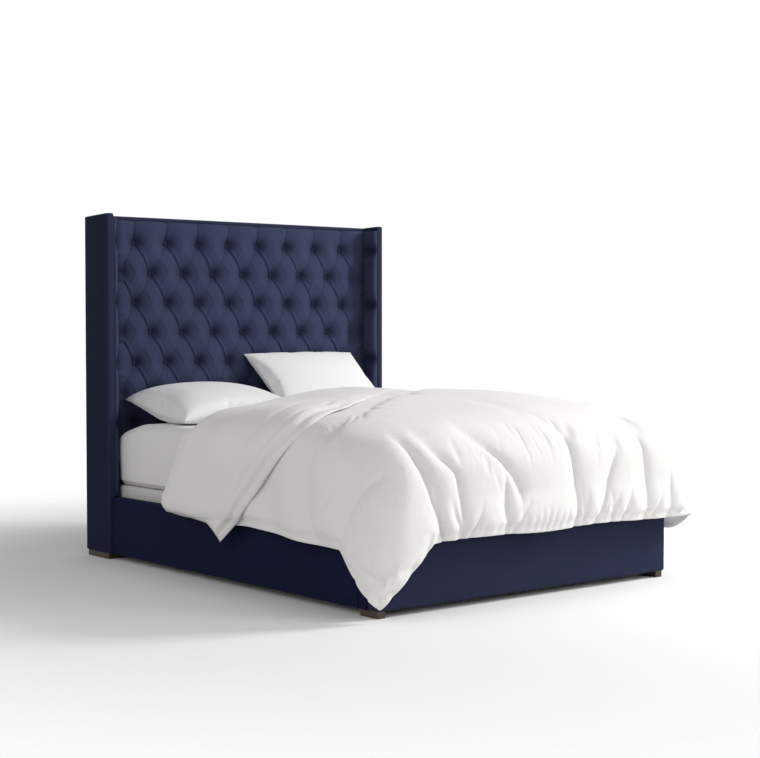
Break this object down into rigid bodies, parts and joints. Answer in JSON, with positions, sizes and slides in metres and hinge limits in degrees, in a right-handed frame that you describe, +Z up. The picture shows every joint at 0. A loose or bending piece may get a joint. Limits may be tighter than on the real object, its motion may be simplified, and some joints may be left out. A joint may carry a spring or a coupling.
{
  "type": "upholstered bed",
  "caption": "Made-up bed with a tall diamond-tufted velvet headboard between thin wings, low padded rails and footboard, box spring, mattress, pillows and a thick folded-back duvet.",
  "frame": {"origin": "On the floor, under the middle of the box round the whole made-up bed.", "axes": "+X is to the right as seen from the foot of the bed, +Y runs from the foot to the headboard, +Z is up."},
  "size_m": [1.83, 2.332, 1.652],
  "materials": {
    "velvet": "short-pile navy velvet",
    "back_cloth": "thin black dust cloth",
    "frame_wood": "planed softwood, unfinished",
    "plywood": "sanded plywood",
    "dark_wood": "dark stained hardwood, satin",
    "steel": "zinc plated",
    "glide_plastic": "moulded, matt",
    "ticking": "woven ticking",
    "ticking_white": "quilted ticking",
    "sheet": "smooth cotton",
    "pillowcase": "smooth cotton",
    "duvet_cover": "soft brushed cotton, warm white"
  },
  "bodies": {
    "bed_frame": {"headboard_post_left": "frame_wood", "headboard_post_right": "frame_wood", "headboard_top_rail": "frame_wood", "headboard_middle_rail": "frame_wood", "headboard_bottom_rail": "frame_wood", "headboard_panel": "plywood", "headboard_back_cover": "back_cloth", "headboard_pad": "velvet", "headboard_buttons": "velvet", "headboard_top_roll": "velvet", "wing_core_left": "plywood", "wing_core_right": "plywood", "wing_cover_left": "velvet", "wing_cover_right": "velvet", "wing_pad_left": "velvet", "wing_pad_right": "velvet", "wing_buttons_left": "velvet", "wing_buttons_right": "velvet", "head_leg_left": "dark_wood", "head_leg_right": "dark_wood", "wing_bolts": "steel", "side_rail_core_left": "frame_wood", "side_rail_core_right": "frame_wood", "side_rail_cover_left": "velvet", "side_rail_cover_right": "velvet", "slat_cleat_left": "frame_wood", "slat_cleat_right": "frame_wood", "footboard_return_core_left": "frame_wood", "footboard_return_core_right": "frame_wood", "footboard_return_cover_left": "velvet", "footboard_return_cover_right": "velvet", "foot_leg_left": "dark_wood", "foot_leg_right": "dark_wood", "head_bracket_left": "steel", "head_bracket_right": "steel", "foot_joint_plate_left": "steel", "foot_joint_plate_right": "steel", "rail_bolts": "steel", "footboard_core": "frame_wood", "footboard_cover": "velvet", "slat_1": "frame_wood", "slat_2": "frame_wood", "slat_3": "frame_wood", "slat_4": "frame_wood", "slat_5": "frame_wood", "centre_leg_1": "frame_wood", "centre_leg_2": "frame_wood", "centre_leg_3": "frame_wood"},
    "box_spring": {"box_spring": "ticking"},
    "mattress": {"mattress": "ticking_white", "fitted_sheet": "sheet"},
    "duvet": {"duvet": "duvet_cover"},
    "pillow_left": {"pillow_left": "pillowcase"},
    "pillow_right": {"pillow_right": "pillowcase"},
    "glide_1": {"glide_1": "glide_plastic"},
    "glide_2": {"glide_2": "glide_plastic"},
    "glide_3": {"glide_3": "glide_plastic"}
  },
  "joints": [
    {"name": "box_spring_lift", "type": "slide", "parent": "bed_frame", "child": "box_spring", "axis": [0, 0, 1], "range_m": [0, 0.25]},
    {"name": "mattress_lift", "type": "slide", "parent": "box_spring", "child": "mattress", "axis": [0, 0, 1], "range_m": [0, 0.2]},
    {"name": "duvet_lift", "type": "slide", "parent": "mattress", "child": "duvet", "axis": [0, 0, 1], "range_m": [0, 0.3]},
    {"name": "pillow_left_lift", "type": "slide", "parent": "mattress", "child": "pillow_left", "axis": [0, 0, 1], "range_m": [0, 0.25]},
    {"name": "pillow_right_lift", "type": "slide", "parent": "mattress", "child": "pillow_right", "axis": [0, 0, 1], "range_m": [0, 0.25]},
    {"name": "glide_1_screw", "type": "slide", "parent": "bed_frame", "child": "glide_1", "axis": [0, 0, 1], "range_m": [0, 0.012]},
    {"name": "glide_2_screw", "type": "slide", "parent": "bed_frame", "child": "glide_2", "axis": [0, 0, 1], "range_m": [0, 0.012]},
    {"name": "glide_3_screw", "type": "slide", "parent": "bed_frame", "child": "glide_3", "axis": [0, 0, 1], "range_m": [0, 0.012]}
  ]
}
